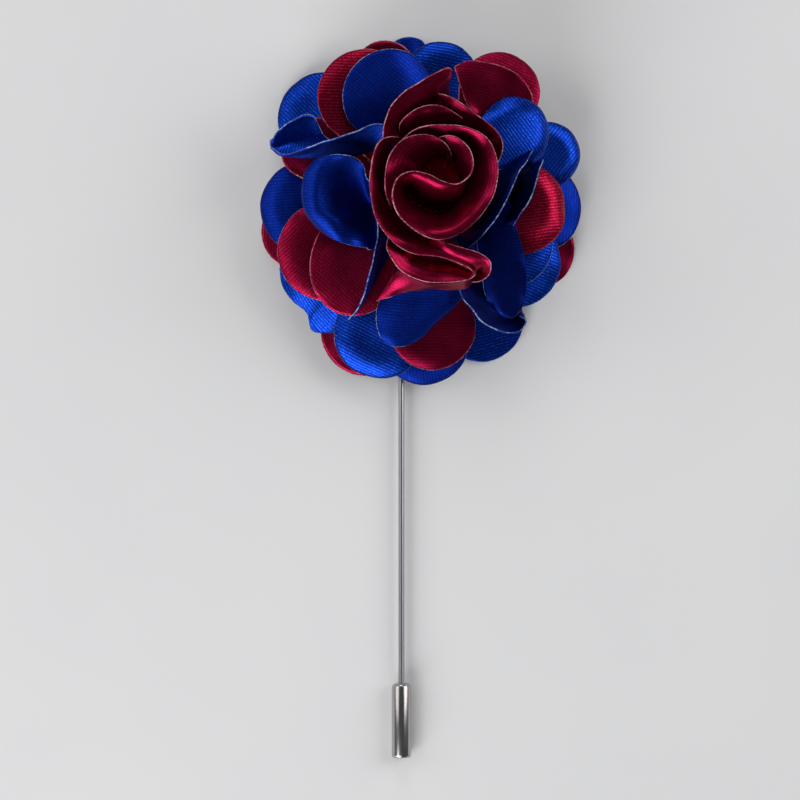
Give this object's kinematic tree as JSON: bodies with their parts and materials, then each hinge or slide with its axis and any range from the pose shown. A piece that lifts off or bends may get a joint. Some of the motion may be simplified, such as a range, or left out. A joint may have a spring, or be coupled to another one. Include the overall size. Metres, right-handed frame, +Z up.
{
  "type": "fabric lapel pin",
  "caption": "Satin ribbon flower in burgundy and royal blue on a straight steel stick pin with a slide-on barrel stopper, worn on a jacket lapel.",
  "frame": {"origin": "centre of the footprint, on the surface that the pin lies on", "axes": "+Z up, the way the flower faces; +Y from the point of the stick towards the flower; +X to the right seen from above"},
  "size_m": [0.0448, 0.1, 0.0231],
  "materials": {
    "blue_satin": "satin with fine woven ribs and a pale sealed edge",
    "burgundy_satin": "satin with fine woven ribs and a pale sealed edge",
    "dark_felt": "matt felt",
    "steel": "satin"
  },
  "bodies": {
    "flower_pin": {"petal_low_01": "blue_satin", "petal_low_02": "blue_satin", "petal_low_03": "blue_satin", "petal_low_04": "burgundy_satin", "petal_low_05": "blue_satin", "petal_low_06": "blue_satin", "petal_low_07": "burgundy_satin", "petal_low_08": "blue_satin", "petal_low_09": "burgundy_satin", "petal_low_10": "burgundy_satin", "petal_low_11": "blue_satin", "petal_mid_01": "blue_satin", "petal_mid_02": "burgundy_satin", "petal_mid_03": "blue_satin", "petal_mid_04": "blue_satin", "petal_mid_05": "blue_satin", "petal_mid_06": "blue_satin", "petal_mid_07": "burgundy_satin", "petal_mid_08": "blue_satin", "petal_mid_09": "burgundy_satin", "petal_mid_10": "burgundy_satin", "petal_high_01": "burgundy_satin", "petal_high_02": "blue_satin", "petal_high_03": "blue_satin", "petal_high_04": "blue_satin", "petal_high_05": "burgundy_satin", "petal_high_06": "blue_satin", "petal_high_07": "burgundy_satin", "petal_high_08": "blue_satin", "petal_high_09": "blue_satin", "petal_high_10": "burgundy_satin", "petal_high_11": "blue_satin", "petal_high_12": "blue_satin", "petal_high_13": "blue_satin", "rosette_swirl": "burgundy_satin", "rosette_loop": "burgundy_satin", "rosette_collar": "burgundy_satin", "rosette_fold": "burgundy_satin", "rosette_ruffle": "burgundy_satin", "rosette_hem": "burgundy_satin", "rosette_peak": "burgundy_satin", "rosette_cape": "burgundy_satin", "rosette_brow": "burgundy_satin", "flower_core": "burgundy_satin", "felt_back": "dark_felt", "steel_pin": "steel"},
    "stopper": {"stopper": "steel"}
  },
  "joints": [
    {"name": "stopper_slide", "type": "slide", "parent": "flower_pin", "child": "stopper", "axis": [0, -1, 0], "range_m": [0, 0.012]}
  ]
}
